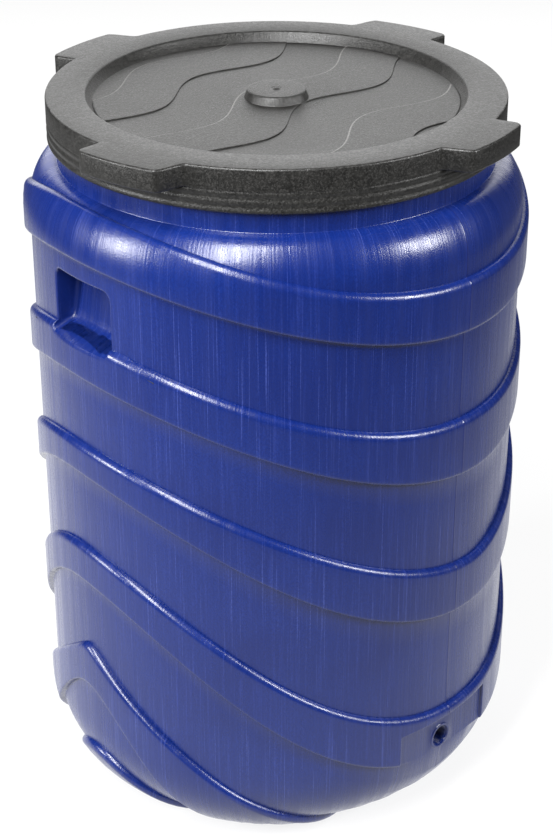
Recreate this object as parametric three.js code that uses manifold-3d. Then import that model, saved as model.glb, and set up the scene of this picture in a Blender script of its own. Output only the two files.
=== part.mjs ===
// Rain barrel: a blow-moulded plastic barrel with wavy raised bands, two recessed hand grips and a
// threaded tap port, closed by a screw lid with four lugs and a flat rubber gasket.
// Millimetres, +Z up. The origin is the centre of the base on the ground. The tap port faces -Y.
// An azimuth is an angle about +Z, zero at the tap port (-Y) and growing towards +X.

import * as THREE from 'three';
import Module from 'manifold-3d';
import { mergeVertices } from 'three/addons/utils/BufferGeometryUtils.js';

const wasm = await Module();
wasm.setup();

// ---- Driving dimensions ----

const LID_RADIUS = 260;
const TOTAL_HEIGHT = 870;
const WALL_RADIUS = 283.5;
const WALL_THICKNESS = 4;
const BAND_HEIGHT = 7.5;

// ---- Barrel body profile ----

const HEEL_RADIUS = 110;
const SHOULDER_START = 745;
const NECK_BASE = 796;
const NECK_RADIUS = 250;
const NECK_TOP = 860;
const SHOULDER_LENGTH = 70;
const FLAT_RADIUS = WALL_RADIUS - HEEL_RADIUS;
const FOOT_WIDTH = 18;
const PUSH_UP = 6;
const PUSH_UP_SLOPE = 10;

// Distance along the profile, from the edge of the flat base up to the neck.
const HEEL_LENGTH = (HEEL_RADIUS * Math.PI) / 2;
const SHOULDER_FROM = HEEL_LENGTH + SHOULDER_START - HEEL_RADIUS;
const SHOULDER_TO = SHOULDER_FROM + SHOULDER_LENGTH;

// ---- Raised bands ----

const LEDGE_LENGTH = 9;
const LEDGE_KNEE = { share: 0.25, rise: 0.7 };
const UNDERCUT_LENGTH = 4;
const GRIP_AZIMUTH = THREE.MathUtils.degToRad(95);

// The bands are lowest beside the tap and crest just behind the grips, on either side.
const LOW_AZIMUTH = THREE.MathUtils.degToRad(8);
const CREST_AZIMUTH = THREE.MathUtils.degToRad(98);

// Each edge of a wave band has a lowest and a highest height, and a sharpness of its crest.
const WAVE_BANDS = [
  { top: [226, 440, 2.56], bottom: [162.5, 393.5, 2.9] },
  { top: [422.5, 577, 1.75], bottom: [362, 540, 2.17] },
  { top: [616, 715, 2.22], bottom: [545.5, 665, 1.9] },
  { top: [786, 860, 2.33], bottom: [725, 806, 2.1] },
];

// The low bands peak behind the grips and fall in straight flanks that run off the base.
const FOOT_BAND_TOP = { crest: 147, slope: 330, round: THREE.MathUtils.degToRad(12) };
const PEAK_BAND = {
  top: { crest: 299.5, slope: 206, round: THREE.MathUtils.degToRad(1.8) },
  bottom: { crest: 244, slope: 366, round: THREE.MathUtils.degToRad(9.2) },
};
const BASE_FADE = 30;

// ---- Tap port ----

const PORT_HEIGHT = 112;
const PORT_DRILL_RADIUS = 12.1;
const PORT_BOSS_RADIUS = 17;
const PORT_BOSS_RISE = 1;
const PORT_BLOCK_RADIUS = 21;
const PORT_DEPTH = 16;
const PAD_DISTANCE = 277;
const PAD_HALF_WIDTH = 78;
const PAD_TOP = 152;
const PAD_BOTTOM = 40;

// ---- Hand grips ----

const GRIP_HALF_WIDTH = 49;
const GRIP_TOP = 715;
const GRIP_FLOOR_TOP = 650;
const GRIP_FLOOR_MOUTH = 639;
const GRIP_BACK_TOP = 247;
const GRIP_BACK_BOTTOM = 257;
const GRIP_CORNER = 9;

// ---- Screw thread ----

const THREAD_LEAD = 20;
const THREAD_TURNS = 1.15;
const THREAD_WIDTH = 5;
const THREAD_START = 830;
const THREAD_GAP = 1.5;
const THREAD_SUNK = 1.5;
const THREAD_TIP = 0.15;
const NECK_THREAD_CREST = 253.6;
const LID_THREAD_CREST = 251.4;

// ---- Screw lid ----

const LID_WALL = 4;
const SKIRT_BOTTOM = 821;
const SKIRT_INNER = 256;
const PANEL_RADIUS = 208;
const RING_INNER = 215;
const PANEL_DROP = 12;
const TOP_EDGE_ROUND = 3;
const BOSS_TOP_RADIUS = 33;
const BOSS_FOOT_RADIUS = 37;
const BOSS_RISE = 11;
const BOSS_EDGE = 1;
const LUG_RADIUS = 290;
const LUG_HEIGHT = 25;
const LUG_SIDE_ANGLE = THREE.MathUtils.degToRad(11);
const LUG_SHOULDER_ANGLE = THREE.MathUtils.degToRad(9.4);
const LUG_RAMP_ANGLE = THREE.MathUtils.degToRad(5);
const LUG_COUNT = 4;
const LID_CLOSED_AZIMUTH = THREE.MathUtils.degToRad(9);
const STRIP_RISE = 1.5;
const STRIP_NUMBERS = [-2, 0, 2];
const STRIP_SPACING = 77.3;
const STRIP_SHIFT = 16;
const STRIP_WAVE = 18;
const STRIP_WAVE_LENGTH = 216;

// ---- Gasket ----

const GASKET_INNER = 243;
const GASKET_OUTER = 253;
const GASKET_GAP = 0.3;

// ---- Mesh fineness ----

const OUTER_COLUMNS = 60;
const INNER_COLUMNS = 36;
const LID_SEGMENTS = 60;
const PORT_SEGMENTS = 32;
const CORNER_STEPS = 3;
const LUG_STEPS = 6;
const STRIP_STEPS = 24;
const THREAD_FADE_STEPS = 5;
const THIN_ROW = 1.2;

// How far a joined shape sinks into its neighbour, and how far a cutting shape runs past it.
const JOIN = 1;
const CLEAR = 20;

// ---- Helpers ----

const lerp = THREE.MathUtils.lerp;
const clamp = THREE.MathUtils.clamp;
const smoothstep = THREE.MathUtils.smoothstep;

function atAzimuth(radius, azimuth, z) {
  return new THREE.Vector3(radius * Math.sin(azimuth), -radius * Math.cos(azimuth), z);
}

function toSolid(geometry) {
  const bare = geometry.clone();
  bare.deleteAttribute('normal');
  bare.deleteAttribute('uv');
  const merged = mergeVertices(bare, 1e-4);
  const vertProperties = new Float32Array(merged.attributes.position.array);
  const triVerts = new Uint32Array(merged.index.array);
  return new wasm.Manifold(new wasm.Mesh({ numProp: 3, vertProperties, triVerts }));
}

function toGeometry(solid) {
  const mesh = solid.getMesh();
  const geometry = new THREE.BufferGeometry();
  geometry.setAttribute('position', new THREE.BufferAttribute(mesh.vertProperties.slice(), 3));
  geometry.setIndex(new THREE.BufferAttribute(mesh.triVerts.slice(), 1));
  return geometry;
}

// A closed body from rings of points listed bottom to top, closed by a fan at each end.
function ringSolid(rings) {
  const columns = rings[0].length;
  const points = rings.flat();
  const bottom = points.length;
  const top = bottom + 1;
  const centre = (ring) => new THREE.Vector3(0, 0, ring[0].z);
  points.push(centre(rings[0]), centre(rings[rings.length - 1]));
  const index = [];
  for (let j = 0; j < columns; j++) {
    const k = (j + 1) % columns;
    index.push(bottom, k, j);
    for (let i = 0; i < rings.length - 1; i++) {
      const a = i * columns;
      const b = a + columns;
      index.push(a + j, a + k, b + k);
      index.push(a + j, b + k, b + j);
    }
    const last = (rings.length - 1) * columns;
    index.push(top, last + j, last + k);
  }
  const geometry = new THREE.BufferGeometry().setFromPoints(points);
  geometry.setIndex(index);
  return toSolid(geometry);
}

// An outline of [x, y] points, extruded along +Z from one height to another.
function extrudeUp(outline, from, to) {
  const shape = new THREE.Shape(outline.map(([x, y]) => new THREE.Vector2(x, y)));
  const geometry = new THREE.ExtrudeGeometry(shape, { depth: to - from, bevelEnabled: false });
  geometry.translate(0, 0, from);
  return toSolid(geometry);
}

function lathe(profile) {
  const points = profile.map(([r, z]) => new THREE.Vector2(r, z));
  const geometry = new THREE.LatheGeometry(points, LID_SEGMENTS);
  geometry.rotateX(Math.PI / 2);
  return toSolid(geometry);
}

function disc(radius, from, to) {
  const geometry = new THREE.CylinderGeometry(radius, radius, to - from, LID_SEGMENTS);
  geometry.rotateX(Math.PI / 2);
  geometry.translate(0, 0, (from + to) / 2);
  return toSolid(geometry);
}

// A round bar along Y between two distances in front of the barrel, centred on the tap port.
function portBar(radius, near, far) {
  const geometry = new THREE.CylinderGeometry(radius, radius, far - near, PORT_SEGMENTS);
  geometry.translate(0, -(near + far) / 2, PORT_HEIGHT);
  return toSolid(geometry);
}

function box(low, high) {
  const size = high.map((value, axis) => value - low[axis]);
  const geometry = new THREE.BoxGeometry(...size);
  geometry.translate(...low.map((value, axis) => value + size[axis] / 2));
  return toSolid(geometry);
}

// ---- Barrel surface ----

// A point of the plain profile, pushed out along the surface normal.
function profilePoint(s, push) {
  if (s < HEEL_LENGTH) {
    const angle = Math.max(s, 0) / HEEL_RADIUS;
    const reach = HEEL_RADIUS + push;
    return [FLAT_RADIUS + reach * Math.sin(angle), HEEL_RADIUS - reach * Math.cos(angle)];
  }
  if (s < SHOULDER_FROM) return [WALL_RADIUS + push, s - HEEL_LENGTH + HEEL_RADIUS];
  const angle = (Math.min(s - SHOULDER_FROM, SHOULDER_LENGTH) / SHOULDER_LENGTH) * (Math.PI / 2);
  const across = WALL_RADIUS - NECK_RADIUS;
  const up = NECK_BASE - SHOULDER_START;
  const normal = new THREE.Vector2(Math.cos(angle) / across, Math.sin(angle) / up).normalize();
  const r = NECK_RADIUS + across * Math.cos(angle) + push * normal.x;
  const z = SHOULDER_START + up * Math.sin(angle) + push * normal.y;
  return [r, z];
}

// Zero where the bands are lowest, a quarter turn at their crests.
function wavePhase(azimuth) {
  const turn = Math.atan2(Math.sin(azimuth), Math.cos(azimuth));
  const quarter = Math.PI / 2;
  const behind = Math.PI - Math.abs(turn);
  if (behind < Math.PI - CREST_AZIMUTH) return (behind / (Math.PI - CREST_AZIMUTH)) * quarter;
  const reach = CREST_AZIMUTH + (turn < LOW_AZIMUTH ? LOW_AZIMUTH : -LOW_AZIMUTH);
  return (Math.abs(turn - LOW_AZIMUTH) / reach) * quarter;
}

function waveEdge([lowest, highest, sharpness], azimuth) {
  return lerp(lowest, highest, Math.sin(wavePhase(azimuth)) ** sharpness);
}

function peakEdge({ crest, slope, round }, azimuth) {
  const turn = Math.abs(Math.atan2(Math.sin(azimuth), Math.cos(azimuth)));
  const away = Math.abs(turn - CREST_AZIMUTH);
  return crest - slope * (Math.hypot(away, round) - round);
}

// Rows of one column of the surface: distance along the profile, and how far it stands proud.
// The inside of the wall follows the same bands in fewer rows.
function columnRows(azimuth, fine) {
  const bands = [
    { bottom: peakEdge(PEAK_BAND.bottom, azimuth), top: peakEdge(PEAK_BAND.top, azimuth) },
    ...WAVE_BANDS.map((band) => ({
      bottom: waveEdge(band.bottom, azimuth),
      top: waveEdge(band.top, azimuth),
    })),
  ];
  const foot = peakEdge(FOOT_BAND_TOP, azimuth);
  const rows = [];
  const fill = (from, to, count, push) => {
    const start = clamp(from, 0, SHOULDER_TO);
    const end = Math.max(start, to);
    for (let i = 1; i <= count; i++) rows.push([lerp(start, end, i / (count + 1)), push]);
  };
  fill(0, foot - LEDGE_LENGTH, 3, BAND_HEIGHT);
  rows.push([foot - LEDGE_LENGTH, BAND_HEIGHT]);
  rows.push([foot, 0]);
  let below = foot;
  for (const [number, band] of bands.entries()) {
    const overHeel = number === 1;
    const gap = overHeel ? 3 : Number(fine);
    fill(below, band.bottom - UNDERCUT_LENGTH, gap, 0);
    rows.push([band.bottom - UNDERCUT_LENGTH, 0]);
    rows.push([band.bottom, BAND_HEIGHT]);
    if (number === 0) fill(band.bottom, band.top - LEDGE_LENGTH, 1 + Number(fine), BAND_HEIGHT);
    rows.push([band.top - LEDGE_LENGTH, BAND_HEIGHT]);
    if (fine) {
      rows.push([band.top - LEDGE_LENGTH * LEDGE_KNEE.share, BAND_HEIGHT * LEDGE_KNEE.rise]);
    }
    rows.push([band.top, 0]);
    below = band.top;
  }
  fill(below, SHOULDER_TO, 2, 0);

  // Bands that have run off the base lie flat in thin rows at its edge.
  return rows.map(([s, push], number) => {
    const lowest = THIN_ROW * (number + 1);
    const fade = clamp(s / BASE_FADE, 0, 1);
    return [Math.max(s, lowest), s > lowest ? push * fade : 0];
  });
}

function barrelRings(columns, wall, topHeight) {
  const fine = wall === 0;
  const rowCount = columnRows(0, fine).length;
  const rings = Array.from({ length: rowCount }, () => []);
  const baseRings = [[], []];
  const neckRings = [[], []];
  for (let j = 0; j < columns; j++) {
    const azimuth = (j / columns) * Math.PI * 2;
    const rows = columnRows(azimuth, fine);
    rows.forEach(([s, push], i) => {
      const [r, z] = profilePoint(s, push - wall);
      rings[i].push(atAzimuth(r, azimuth, Math.max(z, wall)));
    });
    baseRings[0].push(atAzimuth(FLAT_RADIUS - FOOT_WIDTH - PUSH_UP_SLOPE, azimuth, PUSH_UP + wall));
    baseRings[1].push(atAzimuth(FLAT_RADIUS - FOOT_WIDTH, azimuth, wall));
    neckRings[0].push(atAzimuth(NECK_RADIUS - wall, azimuth, NECK_BASE));
    neckRings[1].push(atAzimuth(NECK_RADIUS - wall, azimuth, topHeight));
  }
  return [...baseRings, ...rings, ...neckRings];
}

// ---- Barrel body ----

// A hand grip hollow: an undercut pocket with a sloping scoop that runs out through the wall.
function gripSolid(side, grow) {
  const mouth = WALL_RADIUS + CLEAR;
  const slope = (GRIP_FLOOR_TOP - GRIP_FLOOR_MOUTH) / (WALL_RADIUS + BAND_HEIGHT - GRIP_BACK_BOTTOM);
  const floorAt = (distance) => GRIP_FLOOR_TOP - slope * (distance - GRIP_BACK_BOTTOM) - grow;
  const outline = [
    [mouth, GRIP_TOP + grow],
    [GRIP_BACK_TOP - grow, GRIP_TOP + grow],
    [GRIP_BACK_BOTTOM - grow, GRIP_FLOOR_TOP - grow],
    [mouth, floorAt(mouth)],
  ];
  const upright = extrudeUp(outline, -GRIP_HALF_WIDTH - grow, GRIP_HALF_WIDTH + grow);

  // The plan of the pocket has rounded inner corners.
  const reach = GRIP_HALF_WIDTH + grow;
  const back = GRIP_BACK_TOP - grow;
  const corner = GRIP_CORNER;
  const plan = [[mouth, -reach], [mouth, reach]];
  for (let i = 0; i <= CORNER_STEPS; i++) {
    const angle = (i / CORNER_STEPS) * (Math.PI / 2);
    plan.push([back + corner - corner * Math.sin(angle), reach - corner + corner * Math.cos(angle)]);
  }
  for (let i = 0; i <= CORNER_STEPS; i++) {
    const angle = (i / CORNER_STEPS) * (Math.PI / 2);
    plan.push([back + corner - corner * Math.cos(angle), -reach + corner - corner * Math.sin(angle)]);
  }
  const level = extrudeUp(plan, GRIP_FLOOR_MOUTH - CLEAR, GRIP_TOP + grow + JOIN);
  const stood = upright.rotate([90, 0, 0]);
  const facing = side * THREE.MathUtils.radToDeg(GRIP_AZIMUTH) - 90;
  return stood.intersect(level).rotate([0, 0, facing]);
}

// A helical ridge of trapezium section whose ends sink into the wall it stands on.
function threadRidge(rootRadius, crestRadius, startHeight, startAzimuth) {
  const steps = Math.round(THREAD_TURNS * LID_SEGMENTS);
  const points = [];
  for (let i = 0; i <= steps; i++) {
    const azimuth = startAzimuth + (i / LID_SEGMENTS) * Math.PI * 2;
    const z = startHeight + (i / LID_SEGMENTS) * THREAD_LEAD;
    const grown = Math.min(1, i / THREAD_FADE_STEPS, (steps - i) / THREAD_FADE_STEPS);
    const crest = lerp(rootRadius, crestRadius, lerp(THREAD_TIP, 1, grown));
    const sunk = rootRadius + Math.sign(rootRadius - crestRadius) * THREAD_SUNK;
    points.push(atAzimuth(sunk, azimuth, z - THREAD_WIDTH / 2));
    points.push(atAzimuth(crest, azimuth, z - THREAD_WIDTH / 4));
    points.push(atAzimuth(crest, azimuth, z + THREAD_WIDTH / 4));
    points.push(atAzimuth(sunk, azimuth, z + THREAD_WIDTH / 2));
  }
  const index = [];
  const corners = 4;
  for (let i = 0; i < steps; i++) {
    for (let c = 0; c < corners; c++) {
      const a = i * corners + c;
      const b = i * corners + ((c + 1) % corners);
      index.push(a, a + corners, b + corners, a, b + corners, b);
    }
  }
  const end = steps * corners;
  index.push(0, 1, 2, 0, 2, 3);
  index.push(end, end + 2, end + 1, end, end + 3, end + 2);
  const outward = crestRadius > rootRadius;
  if (!outward) index.reverse();
  const geometry = new THREE.BufferGeometry().setFromPoints(points);
  geometry.setIndex(index);
  return toSolid(geometry);
}

function barrelBody() {
  const outer = ringSolid(barrelRings(OUTER_COLUMNS, 0, NECK_TOP));
  const hollow = ringSolid(barrelRings(INNER_COLUMNS, WALL_THICKNESS, NECK_TOP + CLEAR));

  const padSpace = (grow) => box(
    [-PAD_HALF_WIDTH - grow, -WALL_RADIUS - CLEAR, PAD_BOTTOM],
    [PAD_HALF_WIDTH + grow, -PAD_DISTANCE + grow, PAD_TOP + grow],
  );
  const inside = PAD_DISTANCE - PORT_DEPTH;
  const boss = portBar(PORT_BOSS_RADIUS, PAD_DISTANCE - JOIN, PAD_DISTANCE + PORT_BOSS_RISE);
  const block = portBar(PORT_BLOCK_RADIUS, inside, PAD_DISTANCE + CLEAR);
  const drill = portBar(PORT_DRILL_RADIUS, inside - CLEAR, PAD_DISTANCE + CLEAR);

  let shell = outer.subtract(padSpace(0)).add(boss);
  let cavity = hollow.subtract(padSpace(WALL_THICKNESS)).subtract(block);
  for (const side of [1, -1]) {
    shell = shell.subtract(gripSolid(side, 0));
    cavity = cavity.subtract(gripSolid(side, WALL_THICKNESS));
  }
  const ridge = threadRidge(NECK_RADIUS, NECK_THREAD_CREST, THREAD_START, 0);
  return shell.add(ridge).subtract(cavity).subtract(drill);
}

// ---- Screw lid ----

// The outline of one lug in plan, from its root radius outwards and drawn in by an inset.
// One side is square to the rim and the other runs in as a ramp.
function lugOutline(root, inset, mirrored) {
  const outer = LUG_RADIUS - inset;
  const trim = inset / outer;
  const from = -LUG_SIDE_ANGLE + trim;
  const shoulder = LUG_SHOULDER_ANGLE - trim;
  const to = shoulder + LUG_RAMP_ANGLE;
  const polar = [];
  for (let i = 0; i <= LUG_STEPS; i++) polar.push([outer, lerp(from, shoulder, i / LUG_STEPS)]);
  for (let i = 1; i < LUG_STEPS; i++) {
    const share = i / LUG_STEPS;
    polar.push([lerp(outer, root, smoothstep(share, 0, 1)), lerp(shoulder, to, share)]);
  }
  for (let i = 0; i <= LUG_STEPS; i++) polar.push([root, lerp(to, from, i / LUG_STEPS)]);
  const hand = mirrored ? -1 : 1;
  const outline = polar.map(([r, a]) => [r * Math.sin(hand * a), -r * Math.cos(hand * a)]);
  return mirrored ? outline.reverse() : outline;
}

function lugPrism(number, root, inset, from, to) {
  const mirrored = number % 2 === 0;
  const turn = LID_CLOSED_AZIMUTH + (number * Math.PI * 2) / LUG_COUNT;
  const solid = extrudeUp(lugOutline(root, inset, mirrored), from, to);
  return solid.rotate([0, 0, THREE.MathUtils.radToDeg(turn)]);
}

function lugSolid(number) {
  return lugPrism(number, LID_RADIUS - JOIN, 0, TOTAL_HEIGHT - LUG_HEIGHT, TOTAL_HEIGHT);
}

// The lug is open underneath.
function lugHollow(number) {
  const under = TOTAL_HEIGHT - LUG_HEIGHT - CLEAR;
  return lugPrism(number, LID_RADIUS + JOIN, LID_WALL, under, TOTAL_HEIGHT - LID_WALL);
}

// One raised strip of the panel, bounded by two parallel wavy lines that run from lug to lug.
function panelStrip(number) {
  const edge = (line, along) => {
    const wave = STRIP_WAVE * Math.cos((along / STRIP_WAVE_LENGTH) * Math.PI * 2);
    return STRIP_SHIFT + (line + 0.5) * STRIP_SPACING - wave;
  };
  const reach = PANEL_RADIUS + CLEAR;
  const outline = [];
  for (let i = 0; i <= STRIP_STEPS; i++) {
    const along = lerp(-reach, reach, i / STRIP_STEPS);
    outline.push([edge(number, along), along]);
  }
  for (let i = STRIP_STEPS; i >= 0; i--) {
    const along = lerp(-reach, reach, i / STRIP_STEPS);
    outline.push([edge(number - 1, along), along]);
  }
  const panelTop = TOTAL_HEIGHT - PANEL_DROP;
  const strip = extrudeUp(outline, panelTop - JOIN, panelTop + STRIP_RISE);
  const panel = disc(PANEL_RADIUS + JOIN, panelTop - CLEAR, panelTop + CLEAR);
  const facing = THREE.MathUtils.radToDeg(LID_CLOSED_AZIMUTH) - 90;
  return strip.rotate([0, 0, facing]).intersect(panel);
}

function screwLid() {
  const top = TOTAL_HEIGHT;
  const panelTop = top - PANEL_DROP;
  const cut = TOP_EDGE_ROUND * (1 - Math.SQRT1_2);
  const shell = lathe([
    [0, panelTop - LID_WALL],
    [PANEL_RADIUS + LID_WALL / 2, panelTop - LID_WALL],
    [RING_INNER + LID_WALL / 2, top - LID_WALL],
    [SKIRT_INNER, top - LID_WALL],
    [SKIRT_INNER, SKIRT_BOTTOM],
    [LID_RADIUS, SKIRT_BOTTOM],
    [LID_RADIUS, top - TOP_EDGE_ROUND],
    [LID_RADIUS - cut, top - cut],
    [LID_RADIUS - TOP_EDGE_ROUND, top],
    [RING_INNER, top],
    [PANEL_RADIUS, panelTop],
    [BOSS_FOOT_RADIUS, panelTop],
    [BOSS_TOP_RADIUS + BOSS_EDGE, panelTop + BOSS_RISE - BOSS_EDGE],
    [BOSS_TOP_RADIUS - BOSS_EDGE, panelTop + BOSS_RISE],
    [0, panelTop + BOSS_RISE],
  ]);

  let lid = shell;
  for (let number = 0; number < LUG_COUNT; number++) lid = lid.add(lugSolid(number));
  for (let number = 0; number < LUG_COUNT; number++) lid = lid.subtract(lugHollow(number));
  for (const number of STRIP_NUMBERS) lid = lid.add(panelStrip(number));

  // The lid's ridge starts half a turn round, and runs just under the ridge on the neck.
  const start = THREAD_START + THREAD_LEAD / 2 - THREAD_WIDTH - THREAD_GAP;
  return lid.add(threadRidge(SKIRT_INNER, LID_THREAD_CREST, start, Math.PI));
}

// ---- Gasket ----

function lidGasket() {
  const low = NECK_TOP + GASKET_GAP;
  const high = TOTAL_HEIGHT - LID_WALL - GASKET_GAP;
  return lathe([
    [GASKET_INNER, low],
    [GASKET_OUTER, low],
    [GASKET_OUTER, high],
    [GASKET_INNER, high],
    [GASKET_INNER, low],
  ]);
}

// ---- Assembly ----

function piece(name, solid, color, roughness) {
  const material = new THREE.MeshStandardMaterial({ color, roughness, metalness: 0 });
  const mesh = new THREE.Mesh(toGeometry(solid), material);
  mesh.name = name;
  return mesh;
}

const barrel = new THREE.Group();
barrel.add(
  piece('barrel_body', barrelBody(), 0x1f2f96, 0.42),
  piece('screw_lid', screwLid(), 0x34353a, 0.5),
  piece('lid_gasket', lidGasket(), 0x111111, 0.8),
);

export default barrel;
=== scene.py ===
"""A rain barrel: a blow-moulded blue body, a charcoal screw lid with four lugs and a rubber gasket.

Shapes are worked out in millimetres and become metres when a mesh is made. An azimuth is an
angle about +Z, zero at the tap port (-Y) and growing towards +X. A place s on the body is the
length along its plain profile, from the edge of the flat base up the wall to the neck. A cut-out
has axes of its own: w across it, q out from the barrel's axis and h up.
"""

import math
from collections import Counter

import bmesh
import bpy
import numpy as np
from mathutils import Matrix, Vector


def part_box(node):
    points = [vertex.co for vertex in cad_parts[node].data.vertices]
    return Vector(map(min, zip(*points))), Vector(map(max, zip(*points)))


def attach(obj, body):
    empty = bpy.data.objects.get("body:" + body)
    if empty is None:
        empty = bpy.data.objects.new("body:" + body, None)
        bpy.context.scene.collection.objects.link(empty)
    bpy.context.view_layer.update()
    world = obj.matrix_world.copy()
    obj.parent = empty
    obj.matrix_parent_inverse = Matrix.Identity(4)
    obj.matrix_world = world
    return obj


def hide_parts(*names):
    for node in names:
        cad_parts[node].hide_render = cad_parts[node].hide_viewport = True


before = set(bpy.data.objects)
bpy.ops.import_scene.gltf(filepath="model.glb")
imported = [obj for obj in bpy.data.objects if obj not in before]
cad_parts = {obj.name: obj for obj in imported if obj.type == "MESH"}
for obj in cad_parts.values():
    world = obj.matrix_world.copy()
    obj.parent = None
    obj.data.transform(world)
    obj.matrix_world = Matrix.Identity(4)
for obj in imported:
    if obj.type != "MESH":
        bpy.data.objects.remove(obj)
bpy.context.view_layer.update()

MM = 0.001
TAU = 2 * np.pi
rad = np.radians

# ---- Sizes read from the frame ----

body_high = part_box("barrel_body")[1] / MM
lid_low, lid_high = (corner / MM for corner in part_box("screw_lid"))
gasket_low, gasket_high = (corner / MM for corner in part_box("lid_gasket"))

BAND_HEIGHT = 7.5
WALL_RADIUS = body_high.x - BAND_HEIGHT
NECK_TOP = body_high.z
LID_TOP = lid_high.z
LUG_RADIUS = lid_high.x
SKIRT_BOTTOM = lid_low.z
GASKET_OUTER = gasket_high.x

# ---- Barrel body profile ----

WALL = 4
HEEL_RADIUS = 110
SHOULDER_START = 745
NECK_BASE = 796
NECK_RADIUS = 250
NECK_FILLET = 1.0
RIM_ROUND = 2
SHOULDER_LENGTH = 70
FLAT_RADIUS = WALL_RADIUS - HEEL_RADIUS
FOOT_WIDTH = 18
PUSH_UP = 6
PUSH_UP_SLOPE = 12
HEEL_LENGTH = HEEL_RADIUS * np.pi / 2
SHOULDER_FROM = HEEL_LENGTH + SHOULDER_START - HEEL_RADIUS
SHOULDER_TO = SHOULDER_FROM + SHOULDER_LENGTH
WALL_SHIFT = HEEL_LENGTH - HEEL_RADIUS  # s less height, on the straight wall
NECK_ROWS = (806, 815, 826, 840)
THROAT_ROWS = (840, 815, NECK_BASE - WALL)

# ---- Raised bands ----

# A wave edge is (lowest s, highest s, sharpness of the crest). A peak edge is (s of the crest,
# slope of the flanks per radian, width of the rounded crest). A band's upper edge is a rounded
# ledge. Its lower edge stands proud by UNDERCUT_SHARES of the band's height at UNDERCUT_STEPS.
LEDGE = 9
UNDERCUT_STEPS = np.array([-4.2, -3.5, -3.0, -2.5, -1.6, -0.8, 0.2, 1.4, 3.0])
UNDERCUT_SHARES = np.array([0, 0.03, 0.12, 0.30, 0.70, 0.86, 0.94, 0.985, 1])
LOW_AZIMUTH = rad(8)
CREST_AZIMUTH = rad(98)
WAVE_BANDS = [
    {"top": (226, 440, 2.56), "bottom": (162.5, 393.5, 2.9)},
    {"top": (422.5, 577, 1.75), "bottom": (362, 540, 2.17)},
    {"top": (616, 715, 2.22), "bottom": (545.5, 665, 1.9)},
    {"top": (786, 860, 2.33), "bottom": (725, 806, 2.1)},
]
FOOT_BAND_TOP = (147, 330, rad(12))
PEAK_BAND = {"top": (299.5, 206, rad(1.8)), "bottom": (244, 366, rad(9.2))}
BASE_SQUEEZE = 22
SEAM_RISE = 0.3
SEAM_WIDTH = 0.5

# ---- Tap port ----

PORT_HEIGHT = 112
PAD_DISTANCE = 277
PAD_HALF_WIDTH = 78
PAD_TOP = 152
PAD_DRAFT = 0.15
PAD_EDGE = 1.2
PAD_MARGIN = 8
PAD_LOWEST = 8
PORT_WINDOW = 23
PORT_INNER_WINDOW = PORT_WINDOW + 6
PORT_SIDES = 64
PORT_BOSS_RADIUS = 17
PORT_BOSS_RISE = 1
PORT_BLOCK_RADIUS = 21
PORT_DEPTH = 16
PORT_CHAMFER = 0.6
THREAD_MEAN = 12.64
THREAD_SWING = 0.58
THREAD_PITCH = 1.814
THREAD_FROM = 1.2
THREAD_FADE = 1.5
THREAD_RINGS = 6

# ---- Hand grips ----

GRIP_AZIMUTH = rad(95)
GRIP_HALF_WIDTH = 49
GRIP_TOP = 715
GRIP_FLOOR_TOP = 650
GRIP_FLOOR_MOUTH = 639
GRIP_BACK_TOP = 247
GRIP_BACK_BOTTOM = 257
GRIP_DRAFT = 0.05
GRIP_INNER_ROUND = 5
GRIP_CORNER = 11
GRIP_EDGE = 2.5
GRIP_MARGIN = 12
GRIP_FLOOR_MARGIN = 25
CUT_DEEPEST = 70
CUT_CLEARANCE = 1
CUT_HALVINGS = 40

# ---- Screw lid ----

LID_RADIUS = 260
LID_WALL = 4
SKIRT_INNER = 256
PANEL_RADIUS = 208
RING_INNER = 215
PANEL_DROP = 12
PANEL_TOP = LID_TOP - PANEL_DROP
EDGE_ROUND = 2.5
LUG_HEIGHT = 25
LUG_SIDE_ANGLE = rad(11)
LUG_SHOULDER_ANGLE = rad(9.4)
LUG_RAMP_ANGLE = rad(5)
LUG_CORNER = 9
LUG_ROUND = 2
LUG_COUNT = 4
LUG_CREST_STEPS = 14
LUG_RAMP_STEPS = 16
RIM_STEPS = 46
SKIRT_ROWS = 26
SKIRT_BAND_PITCH = 9.3
SKIRT_BAND_SWING = 0.4
LID_CLOSED_AZIMUTH = rad(9)
BOSS_RISE = 11
STRIP_RISE = 1.5
STRIP_SPACING = 77.3
STRIP_SHIFT = 16
STRIP_WAVE = 18
STRIP_WAVE_LENGTH = 216
STRIP_NUMBERS = (-2, 0, 2)
STRIP_REACH = PANEL_RADIUS - 1
STRIP_NARROWEST = 4.5
STRIP_ROWS = 180
# Width of the strip edges that get a painted highlight
STRIP_HIGHLIGHT_WIDTH = 2.2

# ---- Screw thread ----

THREAD_LEAD = 20
THREAD_TURNS = 1.15
THREAD_WIDTH = 5
THREAD_START = 830
THREAD_GAP = 1.5
NECK_THREAD_CREST = 253.6
LID_THREAD_CREST = 251.4
RIDGE_STEPS = 160
RIDGE_TAPER = 12
RIDGE_SUNK = 1.5

# ---- Gasket ----

GASKET_EDGE = 1.2
GASKET_COLUMNS = 160


# ---- Mesh helpers ----


def make_piece(name, points, faces, body, node, slot, sharp=35):
    """A mesh object from points in millimetres, riding on a body and standing for a CAD node."""
    mesh = bpy.data.meshes.new(name)
    mesh.from_pydata((np.asarray(points) * MM).tolist(), [], faces)
    work = bmesh.new()
    work.from_mesh(mesh)
    bmesh.ops.remove_doubles(work, verts=work.verts, dist=1e-5)
    bmesh.ops.recalc_face_normals(work, faces=work.faces)
    limit = math.radians(sharp)
    for face in work.faces:
        face.smooth = True
    for edge in work.edges:
        edge.smooth = len(edge.link_faces) != 2 or edge.calc_face_angle(0) < limit
    work.to_mesh(mesh)
    work.free()
    piece = bpy.data.objects.new(name, mesh)
    bpy.context.scene.collection.objects.link(piece)
    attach(piece, body)
    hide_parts(node)
    return piece


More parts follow.
